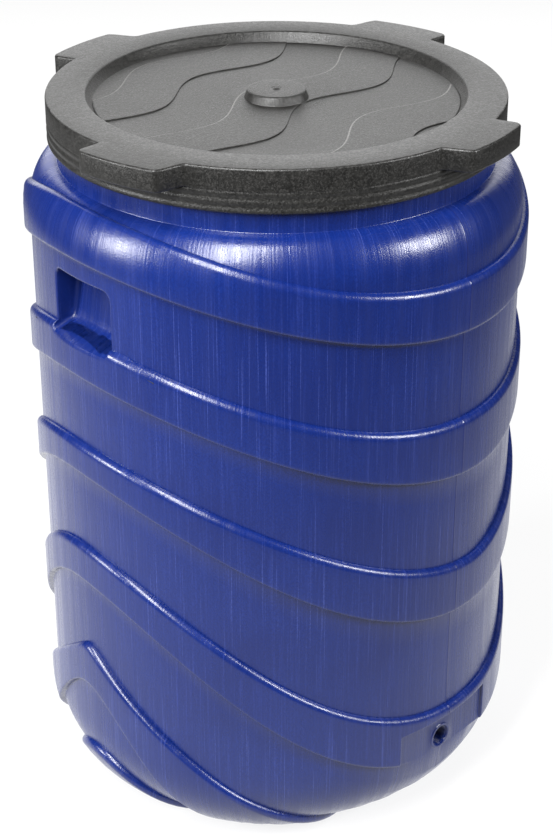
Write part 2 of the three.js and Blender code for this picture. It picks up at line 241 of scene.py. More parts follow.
def grid_faces(row_count, columns, first=0):
    """Quads between closed rows of points that follow one another."""
    start = first + np.arange(row_count - 1)[:, None] * columns
    this = np.arange(columns)[None, :]
    after = (this + 1) % columns
    return np.stack([start + this, start + after, start + columns + after, start + columns + this], -1)


def at_azimuth(radius, azimuth, z):
    """Points at a radius, azimuth and height; the three may be arrays."""
    radius, azimuth, z = np.broadcast_arrays(radius, azimuth, z)
    return np.stack([radius * np.sin(azimuth), -radius * np.cos(azimuth), z], -1)


def loft(rows):
    """Points and faces of a closed body of rows of equal length, with a fan at each end."""
    rows = [np.asarray(row, float) for row in rows]
    columns = len(rows[0])
    points = np.concatenate(rows)
    faces = grid_faces(len(rows), columns).reshape(-1, 4).tolist()
    ends = [rows[0].mean(0), rows[-1].mean(0)]
    for end, first in enumerate((0, (len(rows) - 1) * columns)):
        hub = len(points) + end
        faces += [[hub, first + j, first + (j + 1) % columns] for j in range(columns)]
    return np.concatenate([points, ends]), faces


def circles(outline, azimuth):
    """Rows of points round the axis, one for every (radius, height) of an outline."""
    return [at_azimuth(radius, azimuth, height) for radius, height in outline]


def join(parts):
    """Several (points, faces) as one."""
    points, faces, base = [], [], 0
    for part_points, part_faces in parts:
        points.append(np.asarray(part_points))
        faces += [[base + v for v in face] for face in part_faces]
        base += len(part_points)
    return np.concatenate(points), faces


def arc(count, start=0.0, end=90.0):
    """Evenly spaced angles in radians between two given in degrees."""
    return rad(np.linspace(start, end, count))


def smoothstep(value, low, high):
    """A share that grows smoothly from zero at one value to one at another."""
    share = np.clip((value - low) / (high - low), 0, 1)
    return share * share * (3 - 2 * share)


# ---- Barrel surface ----


def turn_from_tap(azimuth):
    """The angle between a place and the tap port, without its sign."""
    return np.abs((azimuth + np.pi) % TAU - np.pi)


def wave_edge(edge, azimuth):
    """The place s of a wave band's edge: low near the tap port and at the back, high at the grips."""
    lowest, highest, sharpness = edge
    turn = (azimuth + np.pi) % TAU - np.pi
    reach = CREST_AZIMUTH + np.where(turn < LOW_AZIMUTH, LOW_AZIMUTH, -LOW_AZIMUTH)
    near = np.abs(turn - LOW_AZIMUTH) / reach
    far = (np.pi - np.abs(turn)) / (np.pi - CREST_AZIMUTH)
    phase = np.where(np.abs(turn) < CREST_AZIMUTH, near, far) * np.pi / 2
    return lowest + (highest - lowest) * np.sin(phase) ** sharpness


def peak_edge(edge, azimuth):
    """The place s of a low band's edge: a rounded peak below each grip, with straight flanks."""
    crest, slope, width = edge
    away = np.abs(turn_from_tap(azimuth) - CREST_AZIMUTH)
    return crest - slope * (np.hypot(away, width) - width)


def band_edges(azimuth):
    """The (bottom, top) of every band from the lowest up; the foot band has no bottom."""
    edges = [(None, peak_edge(FOOT_BAND_TOP, azimuth))]
    edges.append((peak_edge(PEAK_BAND["bottom"], azimuth), peak_edge(PEAK_BAND["top"], azimuth)))
    for band in WAVE_BANDS:
        edges.append((wave_edge(band["bottom"], azimuth), wave_edge(band["top"], azimuth)))
    return edges


def ledge_rise(below):
    """Share of the band's height at a distance below the foot of its upper ledge."""
    share = np.clip(below / LEDGE, 0, 1)
    return np.sqrt(1 - (1 - share) ** 2)


def rise_at(azimuth, s):
    """How far the surface stands proud of the plain profile."""
    rise = np.zeros(np.broadcast(azimuth, s).shape)
    for bottom, top in band_edges(azimuth):
        share = ledge_rise(top - s)
        if bottom is not None:
            share = np.minimum(share, np.interp(s - bottom, UNDERCUT_STEPS, UNDERCUT_SHARES))
        rise = np.maximum(rise, share)
    arm = np.sin(azimuth) * WALL_RADIUS / SEAM_WIDTH
    return rise * BAND_HEIGHT + SEAM_RISE * np.exp(-arm * arm)


def profile(s, push):
    """Radius and height of the plain profile, pushed out along its normal."""
    heel = np.clip(s, 0, HEEL_LENGTH) / HEEL_RADIUS
    dome = np.clip((s - SHOULDER_FROM) / SHOULDER_LENGTH, 0, 1) * np.pi / 2
    across = WALL_RADIUS - NECK_RADIUS
    up = NECK_BASE - SHOULDER_START
    in_heel = s < HEEL_LENGTH
    in_dome = s > SHOULDER_FROM
    r = np.where(in_heel, FLAT_RADIUS + HEEL_RADIUS * np.sin(heel), NECK_RADIUS + across * np.cos(dome))
    z = np.where(in_heel, HEEL_RADIUS * (1 - np.cos(heel)), s - WALL_SHIFT)
    z = np.where(in_dome, SHOULDER_START + up * np.sin(dome), z)
    normal_r = np.where(in_heel, np.sin(heel), np.cos(dome) / across)
    normal_z = np.where(in_heel, -np.cos(heel), np.sin(dome) / up)
    length = np.hypot(normal_r, normal_z)
    return r + push * normal_r / length, z + push * normal_z / length


def squeeze(s):
    """Bunches rows that run off the base up at its edge; returns the place and the rise left."""
    low = BASE_SQUEEZE
    shrunk = np.exp(np.minimum(s - low, 0) / low)
    return np.where(s < low, low * shrunk, s), shrunk


# ---- Columns and rows of the body mesh ----

# Offsets of rows and columns from the edges they follow, in millimetres; azimuths are in radians.
GRIP_WALL = GRIP_DRAFT * np.linspace(1.5, 34, 7)
GRIP_FILLET = np.array([0.5, 1.1, 1.9, 2.9, 4.2, 5.6])
GRIP_LIP = np.array([0.25, 0.7, 1.3, 2.1, 3.2, 4.6])
MOUTH_STEPS = np.array([-12, -8, -5, -2.5, 0, 2, 4, 6.5, 9])
PAD_STEPS = np.array([-4.5, -3.0, -2.2, -1.6, -1.1, -0.6, 0.0, 0.5, 1.1, 2.0, 3.4])
SEAM_COLUMNS = rad(np.array([-0.4, -0.12, 0, 0.12, 0.4]))
PORT_COLUMNS = rad(np.arange(1.5, 13.6, 1.2))
COLUMN_GAP = rad(1.9)
GRIP_BLEND = (rad(12.5), rad(24))
PAD_BLEND = (rad(17.5), rad(28))
CORNER_REACH = rad(20)
CORNER_FADE = (1.45, 2.6)
LEDGE_ROWS = 10
GAP_ROWS = (5, 5, 3, 3)
FACE_ROWS = 4
INSIDE_STEP = 4  # the inside has every fourth row of the outside

# Bands are counted from the peak band up. The pad ends on band 1, the mouth of the grip's floor
# lies on band 3 and the grip's upper edge in the gap below band 4.
PAD_BAND = 1
MOUTH_BAND = 3
GRIP_GAP = 4


def grip_offsets():
    """Distances from the grip's centre line where its mesh has columns, one side."""
    wall_end = GRIP_WALL[-1]
    flat = np.linspace(3, GRIP_HALF_WIDTH - wall_end - GRIP_FILLET[-1] - 2, 8)
    fillet = GRIP_HALF_WIDTH - wall_end - GRIP_FILLET
    wall = GRIP_HALF_WIDTH - GRIP_WALL
    lip = GRIP_HALF_WIDTH + GRIP_LIP
    return np.sort(np.concatenate([flat, fillet, wall, [GRIP_HALF_WIDTH], lip]))


def column_azimuths():
    """Azimuths of the mesh's columns: fixed ones at every edge, and even ones between them."""
    side = grip_offsets()
    grip = np.arcsin(np.concatenate([-side, side]) / WALL_RADIUS)
    pad = np.arcsin((PAD_HALF_WIDTH + PAD_STEPS) / (WALL_RADIUS + BAND_HEIGHT))
    fixed = [SEAM_COLUMNS, PORT_COLUMNS, -PORT_COLUMNS, pad, -pad]
    fixed += [GRIP_AZIMUTH + grip, -GRIP_AZIMUTH + grip, np.pi + SEAM_COLUMNS]
    fixed = np.unique(np.concatenate(fixed).round(7) % TAU)
    gaps = np.diff(np.append(fixed, fixed[0] + TAU))
    columns = []
    for start, gap in zip(fixed, gaps):
        pieces = max(1, int(np.ceil(gap / COLUMN_GAP)))
        columns += [start + gap * i / pieces for i in range(pieces)]
    return np.array(columns)


def rows_between(low, high, count):
    """Evenly spaced rows between two others."""
    return [low + (high - low) * (i + 1) / (count + 1) for i in range(count)]


def rows_drawn(low, high, fixed, before, after, weight):
    """Rows between two others that are drawn to fixed places where the weight is one."""
    lead = low + (fixed[0] - low) * np.array(before)[:, None]
    tail = fixed[-1] + (high - fixed[-1]) * np.array(after)[:, None]
    anchors = np.concatenate([lead, fixed[:, None] + 0 * low, tail])
    even_rows = rows_between(low, high, len(anchors))
    return [even + (anchor - even) * weight for even, anchor in zip(even_rows, anchors)]


def body_rows(azimuth):
    """Rows of the outside from the edge of the base to the neck, as places along the profile."""
    turn = turn_from_tap(azimuth)
    by_grip = 1 - smoothstep(np.abs(turn - GRIP_AZIMUTH), *GRIP_BLEND)
    by_pad = 1 - smoothstep(turn, *PAD_BLEND)
    level = azimuth * 0
    (_, top), *bands = band_edges(azimuth)
    ledge = [-LEDGE * (1 - math.cos(a)) for a in reversed(arc(LEDGE_ROWS))] + [1]

    grip_edge = WALL_SHIFT + GRIP_TOP
    grip_fillet = grip_edge - GRIP_WALL[-1] - GRIP_FILLET[::-1]
    grip_wall = grip_edge - GRIP_WALL[::-1]
    grip_rows = np.concatenate([grip_fillet, grip_wall, [grip_edge], grip_edge + GRIP_LIP])
    mouth_rows = WALL_SHIFT + GRIP_FLOOR_MOUTH + MOUTH_STEPS
    pad_rows = WALL_SHIFT + PAD_TOP + PAD_STEPS

    rows = rows_between(level - 2 * BASE_SQUEEZE, level + BASE_SQUEEZE, 5)
    rows += rows_between(np.minimum(level + BASE_SQUEEZE, top - 4 * LEDGE), top - LEDGE, 7)
    rows += [top + step for step in ledge]
    for number, (bottom, next_top) in enumerate(bands):
        gap_low = top + ledge[-1]
        gap_high = bottom + UNDERCUT_STEPS[0]
        if number == GRIP_GAP:
            before = np.linspace(0.15, 0.88, 6)
            rows += rows_drawn(gap_low, gap_high, grip_rows, before, [0.35, 0.7], by_grip)
        else:
            rows += rows_between(gap_low, gap_high, GAP_ROWS[number])
        rows += [bottom + step for step in UNDERCUT_STEPS]
        top = next_top
        face_low = bottom + UNDERCUT_STEPS[-1]
        face_high = top - LEDGE
        if number == PAD_BAND:
            before = np.linspace(0.1, 0.93, 10)
            rows += rows_drawn(face_low, face_high, pad_rows, before, [0.4, 0.75], by_pad)
        elif number == MOUTH_BAND:
            rows += rows_drawn(face_low, face_high, mouth_rows, [0.35, 0.7], [], by_grip)
        else:
            rows += rows_between(face_low, face_high, FACE_ROWS)
        rows += [top + step for step in ledge]
    rows += rows_between(top + ledge[-1], level + SHOULDER_TO, 12)
    return np.array(rows)


def round_grip_corners(azimuth, s):
    """Bends rows and columns round the upper corners of the grips, so they follow its outline."""
    centre_w = GRIP_HALF_WIDTH - GRIP_CORNER
    centre_h = GRIP_TOP - GRIP_CORNER
    for side in (1, -1):
        local = (azimuth - side * GRIP_AZIMUTH + np.pi) % TAU - np.pi
        w = np.sin(local) * WALL_RADIUS
        h = s - WALL_SHIFT
        a = (np.abs(w) - centre_w) / GRIP_CORNER
        b = (h - centre_h) / GRIP_CORNER
        near = (a > 0) & (b > 0) & (np.abs(local) < CORNER_REACH)
        square = np.maximum(a, b)
        reach = np.hypot(a, b)
        fade = 1 - smoothstep(square, *CORNER_FADE)
        scale = np.where(near, 1 + (square / np.maximum(reach, 1e-9) - 1) * fade, 1)
        new_w = np.sign(w) * (centre_w + a * scale * GRIP_CORNER)
        new_h = centre_h + b * scale * GRIP_CORNER
        bent = side * GRIP_AZIMUTH + np.arcsin(np.clip(new_w / WALL_RADIUS, -1, 1))
        azimuth = np.where(near, bent, azimuth)
        s = np.where(near, new_h + WALL_SHIFT, s)
    return azimuth, s


# ---- Features cut into the body ----


def round_meet(distances, radius):
    """Distance to the overlap of several shapes whose meeting edges are rounded."""
    stack = np.stack(np.broadcast_arrays(*distances))
    inner = np.minimum(stack.max(0), -radius)
    return inner + np.sqrt((np.maximum(stack + radius, 0) ** 2).sum(0))


def grip_distance(w, q, h, grow):
    """Distance to the grip's pocket; negative inside it."""
    draft = GRIP_DRAFT * (WALL_RADIUS - q)
    side = np.abs(w) - GRIP_HALF_WIDTH + draft
    top = h - GRIP_TOP + draft
    outline = round_meet([side, top], GRIP_CORNER)
    lean = (GRIP_BACK_BOTTOM - GRIP_BACK_TOP) / (GRIP_TOP - GRIP_FLOOR_TOP)
    back = GRIP_BACK_TOP + (GRIP_TOP - h) * lean - q
    mouth = WALL_RADIUS + BAND_HEIGHT
    slope = (GRIP_FLOOR_TOP - GRIP_FLOOR_MOUTH) / (mouth - GRIP_BACK_BOTTOM)
    floor = (GRIP_FLOOR_TOP - slope * (q - GRIP_BACK_BOTTOM) - h) / math.hypot(1, slope)
    return round_meet([outline, back, floor], GRIP_INNER_ROUND) - grow


def pad_distance(w, q, h, grow):
    """Distance to the space in front of the tap pad; negative inside it."""
    draft = PAD_DRAFT * (WALL_RADIUS + BAND_HEIGHT - q)
    side = np.abs(w) - PAD_HALF_WIDTH + draft
    top = h - PAD_TOP + draft
    return round_meet([PAD_DISTANCE - q, side, top], PAD_EDGE) - grow


def cut_back(points, facing, zone, distance, edge, grow):
    """Moves the points in a zone back along a direction until they lie on the cut surface."""
    out = np.array([math.sin(facing), -math.cos(facing), 0])
    across = np.array([math.cos(facing), math.sin(facing), 0])
    q0, w, h = points @ out, points @ across, points[..., 2]
    half_width, low, high = zone
    inside = (q0 > 0) & (np.abs(w) < half_width) & (h > low) & (h < high)
    q0, w, h = q0[inside], w[inside], h[inside]
    near = q0 - CUT_DEEPEST
    far = q0 + CUT_CLEARANCE
    for _ in range(CUT_HALVINGS):
        middle = (near + far) / 2
        outside = round_meet([middle - q0, -distance(w, middle, h, grow)], edge) > 0
        far = np.where(outside, middle, far)
        near = np.where(outside, near, middle)
    moved = points.copy()
    moved[inside] += (near - q0)[:, None] * out
    return moved


def cut_features(points, grow):
    """The two grips and the tap pad, cut into rows of points."""
    grip_low = GRIP_FLOOR_MOUTH - GRIP_FLOOR_MARGIN
    grip_zone = (GRIP_HALF_WIDTH + GRIP_MARGIN, grip_low, GRIP_TOP + GRIP_MARGIN)
    pad_zone = (PAD_HALF_WIDTH + PAD_MARGIN, PAD_LOWEST, PAD_TOP + PAD_MARGIN)
    for side in (1, -1):
        points = cut_back(points, side * GRIP_AZIMUTH, grip_zone, grip_distance, GRIP_EDGE, grow)
    return cut_back(points, 0, pad_zone, pad_distance, PAD_EDGE, grow)


# ---- Barrel body ----


def zip_loops(outer, inner, points, centre):
    """Triangles between two closed loops of point numbers round a centre on the pad."""
    def ordered(loop):
        flat = points[loop] - centre
        angles = np.arctan2(flat[:, 2], flat[:, 0])
        order = np.argsort(angles)
        return [loop[k] for k in order], angles[order]

    outer, outer_angles = ordered(outer)
    inner, inner_angles = ordered(inner)
    faces = []
    i = j = 0
    while i < len(outer) or j < len(inner):
        next_outer = outer_angles[i] if i < len(outer) else np.inf
        next_inner = inner_angles[j] if j < len(inner) else np.inf
        last_outer = outer[i - 1]
        last_inner = inner[j - 1]
        if next_outer < next_inner:
            faces.append([last_outer, outer[i], last_inner])
            i += 1
        else:
            faces.append([last_outer, inner[j], last_inner])
            j += 1
    return faces


def port_rings():
    """Rings of the tap port from the pad's face through the threaded bore to the inside."""
    face = PAD_DISTANCE + PORT_BOSS_RISE
    end = PAD_DISTANCE - PORT_DEPTH
    back = PAD_DISTANCE - WALL
    lip = THREAD_MEAN + THREAD_SWING
    mouth = [(PORT_BOSS_RADIUS + 0.7, PAD_DISTANCE), (PORT_BOSS_RADIUS + 0.3, PAD_DISTANCE + 0.25)]
    mouth += [(PORT_BOSS_RADIUS, face - 0.2), (PORT_BOSS_RADIUS - 0.4, face)]
    mouth += [(lip + 0.9, face), (lip + 0.5, face - 0.15), (lip + 0.2, face - 0.8)]
    rings = [(r, q, 0.0) for r, q in mouth]
    for depth in np.arange(THREAD_FROM, PORT_DEPTH - PORT_CHAMFER, THREAD_PITCH / THREAD_RINGS):
        swing = THREAD_SWING * min(1, (depth - THREAD_FROM) / THREAD_FADE)
        rings.append((lip - swing, face - depth, swing))
    inner = [(lip, end + PORT_CHAMFER), (lip + PORT_CHAMFER, end), (PORT_BLOCK_RADIUS - 1, end)]
    inner += [(PORT_BLOCK_RADIUS, end + 1), (PORT_BLOCK_RADIUS, back - 1), (PORT_BLOCK_RADIUS + 1, back)]
    rings += [(r, q, 0.0) for r, q in inner]
    angle = np.linspace(0, TAU, PORT_SIDES, endpoint=False)
    made = []
    for r, q, swing in rings:
        radius = r + swing * np.cos(angle + TAU * q / THREAD_PITCH)
        x = radius * np.cos(angle)
        z = PORT_HEIGHT + radius * np.sin(angle)
        made.append(np.stack([x, np.full_like(angle, -q), z], -1))
    return made


def cut_window(faces, points, half):
    """Leaves out the quads round the tap port; returns the kept quads and the hole's loop."""
    middle = points[faces].mean(2)
    reach = np.maximum(np.abs(middle[..., 0]), np.abs(middle[..., 2] - PORT_HEIGHT))
    near_rows, near_columns = np.nonzero((reach < half) & (middle[..., 1] < 0))
    hole = np.zeros(faces.shape[:2], bool)
    hole[near_rows.min():near_rows.max() + 1, np.unique(near_columns)] = True
    uses = Counter()
    for quad in faces[hole]:
        uses.update(frozenset((int(a), int(b))) for a, b in zip(quad, np.roll(quad, -1)))
    loop = sorted({corner for edge, count in uses.items() if count == 1 for corner in edge})
    return faces[~hole], loop


def thread_ridge(root, crest, start_height, start_azimuth):
    """A helical ridge that tapers at both ends and stands a little sunk in its wall."""
    share = np.linspace(0, 1, RIDGE_STEPS)
    turned = share * THREAD_TURNS * TAU
    grown = np.minimum(1, np.minimum(share, 1 - share) * RIDGE_TAPER)
    top = root + (crest - root) * (0.1 + 0.9 * np.sin(grown * np.pi / 2))
    sunk = root + np.sign(root - crest) * RIDGE_SUNK
    middle = start_height + turned / TAU * THREAD_LEAD
    azimuth = start_azimuth + turned
    half = THREAD_WIDTH / 2
    section = [(sunk + 0 * top, -half), (root + 0 * top, -half)]
    section += [(root + (top - root) * 0.75, -half * 0.62), (top, -half * 0.32)]
    section += [(r, -up) for r, up in reversed(section)]
    points = np.stack([at_azimuth(r, azimuth, middle + up) for r, up in section], 1)
    return loft(list(points))


def body_walls(columns):
    """Rows of points of the outside, going up, and of the inside, going down."""
    rows = body_rows(columns)
    azimuth, s = round_grip_corners(np.broadcast_to(columns, rows.shape), rows)
    placed, left = squeeze(s)
    rise = rise_at(azimuth, s) * left
    r, z = profile(placed, rise)
    outside = cut_features(at_azimuth(r, azimuth, np.maximum(z, 0)), 0)
    some = slice(None, None, INSIDE_STEP)
    r, z = profile(placed[some], rise[some] - WALL)
    inside = cut_features(at_azimuth(r, azimuth[some], np.maximum(z, WALL)), WALL)
    return outside, inside[::-1]


def neck_outline():
    """The neck from its foot over the rounded rim and down its inside."""
    outline = [(NECK_RADIUS + NECK_FILLET * (1 - math.sin(a)), NECK_BASE + NECK_FILLET * (1 - math.cos(a)))
               for a in arc(5)]
    outline += [(NECK_RADIUS, height) for height in NECK_ROWS]
    outline += [(NECK_RADIUS - RIM_ROUND * (1 - math.cos(a)), NECK_TOP - RIM_ROUND * (1 - math.sin(a)))
                for a in arc(7, 0, 180)]
    return outline + [(NECK_RADIUS - WALL, height) for height in THROAT_ROWS]


def barrel_body():
    """The whole body: base, outside, neck and inside in one grid, with the tap port let into it."""
    columns = column_azimuths()
    outside, inside = body_walls(columns)
    hub = FLAT_RADIUS - FOOT_WIDTH
    base = [(40, PUSH_UP), (90, PUSH_UP), (hub - PUSH_UP_SLOPE - 3, PUSH_UP)]
    base += [(hub - PUSH_UP_SLOPE, PUSH_UP - 0.6), (hub - 2, 0.6), (hub + 1, 0)]
    floor = [(hub - 1, WALL), (hub - PUSH_UP_SLOPE, PUSH_UP + WALL), (90, PUSH_UP + WALL)]

    grid = circles(base, columns)
    first_out = len(grid)
    grid += list(outside)
    first_neck = len(grid)
    grid += circles(neck_outline(), columns)
    first_in = len(grid)
    grid += list(inside)
    last_in = len(grid) - 1
    grid += circles(floor, columns)

    count = len(columns)
    points = np.concatenate(grid)
    quads = grid_faces(len(grid), count)
    out_quads, out_loop = cut_window(quads[first_out:first_neck], points, PORT_WINDOW)
    in_quads, in_loop = cut_window(quads[first_in:last_in], points, PORT_INNER_WINDOW)
    rest = np.concatenate([quads[:first_out], quads[first_neck:first_in], quads[last_in:]])
    faces = np.concatenate([out_quads, in_quads, rest.reshape(-1, 4)]).tolist()

    rings = port_rings()
    first = len(points)
    points = np.concatenate([points] + rings)
    faces += grid_faces(len(rings), PORT_SIDES, first).reshape(-1, 4).tolist()
    centre = np.array([0, -PAD_DISTANCE, PORT_HEIGHT])
    mouth = list(range(first, first + PORT_SIDES))
    inner_end = list(range(len(points) - PORT_SIDES, len(points)))
    faces += zip_loops(out_loop, mouth, points, centre)
    faces += zip_loops(in_loop, inner_end, points, centre)

    hubs = [[0, 0, PUSH_UP], [0, 0, PUSH_UP + WALL]]
    for number, start in enumerate((0, (len(grid) - 1) * count)):
        hub_point = len(points) + number
        faces += [[hub_point, start + j, start + (j + 1) % count] for j in range(count)]
    points = np.concatenate([points, hubs])
    ridge = thread_ridge(NECK_RADIUS, NECK_THREAD_CREST, THREAD_START, 0)
    return join([(points, faces), ridge])


# ---- Screw lid ----


def lug_outline(number):
    """One lug as (azimuth from its centre, radius): a square side, an outer face and a ramp.

    Every other lug is the mirror image of its neighbours.
    """
    polar = [(-LUG_SIDE_ANGLE, radius) for radius in (LID_RADIUS, LID_RADIUS + 3, LID_RADIUS + 12)]
    for a in arc(7):
        across = LUG_CORNER * (1 - math.cos(a))
        drop = LUG_CORNER * (1 - math.sin(a))
        polar.append((across / LUG_RADIUS - LUG_SIDE_ANGLE, LUG_RADIUS - drop))
    first = polar[-1][0]
    for i in range(1, LUG_CREST_STEPS + 1):
        polar.append((first + (LUG_SHOULDER_ANGLE - first) * i / LUG_CREST_STEPS, LUG_RADIUS))
    for i in range(1, LUG_RAMP_STEPS + 1):
        share = i / LUG_RAMP_STEPS
        drop = (LUG_RADIUS - LID_RADIUS) * smoothstep(share, 0, 1)
        polar.append((LUG_SHOULDER_ANGLE + LUG_RAMP_ANGLE * share, LUG_RADIUS - drop))
    lug = np.array(polar)
    return lug[::-1] * [-1, 1] if number % 2 == 0 else lug


def lid_outline():
    """The closed outline of the lid: azimuths, radii and azimuths spread evenly over each lug."""
    azimuths, radii, spread = [], [], []
    for number in range(LUG_COUNT):
        lug = lug_outline(number)
        centre = LID_CLOSED_AZIMUTH + number * TAU / LUG_COUNT
        low = centre + lug[0, 0]
        high = centre + lug[-1, 0]
        next_low = centre + TAU / LUG_COUNT + lug_outline(number + 1)[0, 0]
        plain = np.linspace(high, next_low, RIM_STEPS)[1:-1]
        azimuths += [*(centre + lug[:, 0]), *plain]
        radii += [*lug[:, 1], *np.full(len(plain), LID_RADIUS)]
        spread += [*np.linspace(low, high, len(lug)), *plain]
    return np.array(azimuths), np.array(radii), np.array(spread)


def inward_normals(flat):
    """Unit normals of a closed counter-clockwise outline, pointing inwards."""
    along = np.roll(flat, -1, 0) - np.roll(flat, 1, 0)
    normal = np.stack([-along[:, 1], along[:, 0]], -1)
    return normal / np.linalg.norm(normal, axis=1, keepdims=True)


def panel_outline():
    """The top from the gate nub at its middle, over the boss and the panel, up to the ring."""
    boss_top = PANEL_TOP + BOSS_RISE
    outline = [(1.2, boss_top + 1.0), (2.6, boss_top + 0.8), (3.4, boss_top + 0.1), (5.2, boss_top - 0.5)]
    outline += [(6.5, boss_top - 0.1), (8, boss_top), (30, boss_top), (31.5, boss_top - 0.15)]
    outline += [(32.7, boss_top - 0.7), (33.4, boss_top - 1.7)]
    outline += [(36.2, PANEL_TOP + 2.2), (36.9, PANEL_TOP + 0.7)]
    outline += [(radius, PANEL_TOP) for radius in (38.2, 60, 110, 160, PANEL_RADIUS - 2)]
    outline += [(PANEL_RADIUS - 0.6, PANEL_TOP + 0.25), (PANEL_RADIUS, PANEL_TOP + 1)]
    outline += [(RING_INNER - 0.8, LID_TOP - 3.2), (RING_INNER - 0.2, LID_TOP - 1.7)]
    outline += [(RING_INNER + 0.8, LID_TOP - 0.6), (RING_INNER + 2.4, LID_TOP)]
    return outline + [(LID_RADIUS - 12, LID_TOP)]


def skirt_outline():
    """The finely banded skirt below the lugs, and the underside back to the middle."""
    low = LID_TOP - LUG_HEIGHT
    outline = [(LID_RADIUS, low)]
    for height in np.linspace(low - 0.5, SKIRT_BOTTOM + 1.5, SKIRT_ROWS):
        band = SKIRT_BAND_SWING * math.cos((LID_TOP - height) / SKIRT_BAND_PITCH * TAU)
        outline.append((LID_RADIUS - 0.3 + band, height))
    under = LID_TOP - LID_WALL
    panel_under = PANEL_TOP - LID_WALL
    outline += [(LID_RADIUS - 1.2, SKIRT_BOTTOM), (SKIRT_INNER + 0.8, SKIRT_BOTTOM)]
    outline += [(SKIRT_INNER, SKIRT_BOTTOM + 1), (SKIRT_INNER, under - 2), (SKIRT_INNER - 2, under)]
    outline += [(RING_INNER + 3, under), (PANEL_RADIUS + 2.5, panel_under)]
    return outline + [(100, panel_under), (30, panel_under)]


def screw_lid():
    """The lid from the middle of its top, over the rim and the lugs, to the middle underneath."""
    azimuth, radius, spread = lid_outline()
    outline = at_azimuth(radius, azimuth, 0)[:, :2]
    inward = inward_normals(outline)
    on_lug = (radius > LID_RADIUS + 0.01)[:, None]

    def rim(inset, z):
        flat = outline + inward * inset
        return np.column_stack([flat, np.full(len(flat), z)])

    low = LID_TOP - LUG_HEIGHT
    rows = circles(panel_outline(), spread)
    rows += [rim(EDGE_ROUND * (1 - math.sin(a)), LID_TOP - EDGE_ROUND * (1 - math.cos(a))) for a in arc(6)]
    rows += [rim(0, LID_TOP - 12), rim(0, low + LUG_ROUND)]
    for a in arc(4)[1:]:
        rows.append(rim(LUG_ROUND * (1 - math.cos(a)) * on_lug, low + LUG_ROUND * (1 - math.sin(a))))
    rows += circles(skirt_outline(), spread)
    strips = [panel_strip(number) for number in STRIP_NUMBERS]
    start = THREAD_START + THREAD_LEAD / 2 - THREAD_WIDTH - THREAD_GAP
    ridge = thread_ridge(SKIRT_INNER, LID_THREAD_CREST, start, np.pi)
    return join([loft(rows), ridge] + strips)


def strip_line(line, along):
    """Place across the panel of one of its wavy lines."""
    wave = STRIP_WAVE * np.cos(along / STRIP_WAVE_LENGTH * TAU)
    return STRIP_SHIFT + (line + 0.5) * STRIP_SPACING - wave


def strip_axes():
    """Directions along and across the panel's strips."""
    facing = LID_CLOSED_AZIMUTH - np.pi / 2
    along = np.array([math.sin(facing), -math.cos(facing)])
    across = np.array([math.cos(facing), math.sin(facing)])
    return along, across


def strip_sides(number, along):
    """The far and the near side of one strip, kept on the panel."""
    chord = np.sqrt(np.maximum(STRIP_REACH ** 2 - along ** 2, 0))
    far = np.maximum(strip_line(number - 1, along), -chord)
    near = np.minimum(strip_line(number, along), chord)
    return far, near


def paint_strip_highlights(lid):
    """Marks the rounded far edges of the panel's strips, which get a painted pale highlight for the light
    they catch.
    """
    forward, sideways = strip_axes()
    # The marked vertices carry a painted highlight, not wear
    marks = lid.data.attributes.new("painted_highlight", "FLOAT", "POINT")
    for vertex in lid.data.vertices:
        x, y, z = vertex.co / MM
        along = np.array([x, y]) @ forward
        across = np.array([x, y]) @ sideways
        gaps = [across - strip_line(number - 1, along) for number in STRIP_NUMBERS]
        on_edge = any(-0.1 < gap < STRIP_HIGHLIGHT_WIDTH for gap in gaps)
        on_top = PANEL_TOP + 0.3 < z < PANEL_TOP + STRIP_RISE + 0.1
        on_panel = math.hypot(x, y) < STRIP_REACH
        marks.data[vertex.index].value = float(on_edge and on_top and on_panel)


def panel_strip(number):
    """One raised strip of the panel, between two wavy lines and the foot of the panel's wall."""
    fine = np.linspace(-STRIP_REACH, STRIP_REACH, 4001)
    far, near = strip_sides(number, fine)
    inside = fine[near - far > STRIP_NARROWEST]
    along = np.linspace(inside[0], inside[-1], STRIP_ROWS)
    far, near = strip_sides(number, along)
    low = PANEL_TOP - 0.6
    high = PANEL_TOP + STRIP_RISE
    far_round = [(0, low), (0, high - 0.7), (0.6, high - 0.4), (1.4, high - 0.12), (2.1, high), (2.5, high)]
    near_round = [(2, high), (1.1, high - 0.05), (0.6, high - 0.13), (0.25, high - 0.27)]
    near_round += [(0, high - 0.55), (0, low)]
    section = [(far + inset, height) for inset, height in far_round]
    section += [(near - inset, height) for inset, height in near_round]
    forward, sideways = strip_axes()
    rings = []
    for i, place in enumerate(along):
        ring = [np.append(forward * place + sideways * across[i], height) for across, height in section]
        rings.append(np.array(ring))
    return loft(rings)


# ---- Gasket mesh ----


def gasket_inner_radius():
    """The gasket's inner radius, read from its CAD mesh."""
    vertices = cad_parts["lid_gasket"].data.vertices
    return min(vertex.co.xy.length for vertex in vertices) / MM


def lid_gasket():
    """A flat ring of rounded section."""
    e = GASKET_EDGE
    inner = gasket_inner_radius() + e
    outer = GASKET_OUTER - e
    low = gasket_low.z + e
    high = gasket_high.z - e
    section = []
    for r, z, start in [(outer, low, -90), (outer, high, 0), (inner, high, 90), (inner, low, 180)]:
        section += [(r + e * math.cos(a), z + e * math.sin(a)) for a in arc(5, start, start + 90)]
    azimuth = np.linspace(0, TAU, GASKET_COLUMNS, endpoint=False)
    points = np.concatenate(circles(section, azimuth))
    faces = grid_faces(len(section) + 1, GASKET_COLUMNS).reshape(-1, 4) % len(points)
    return points, faces.tolist()


# ---- Materials ----

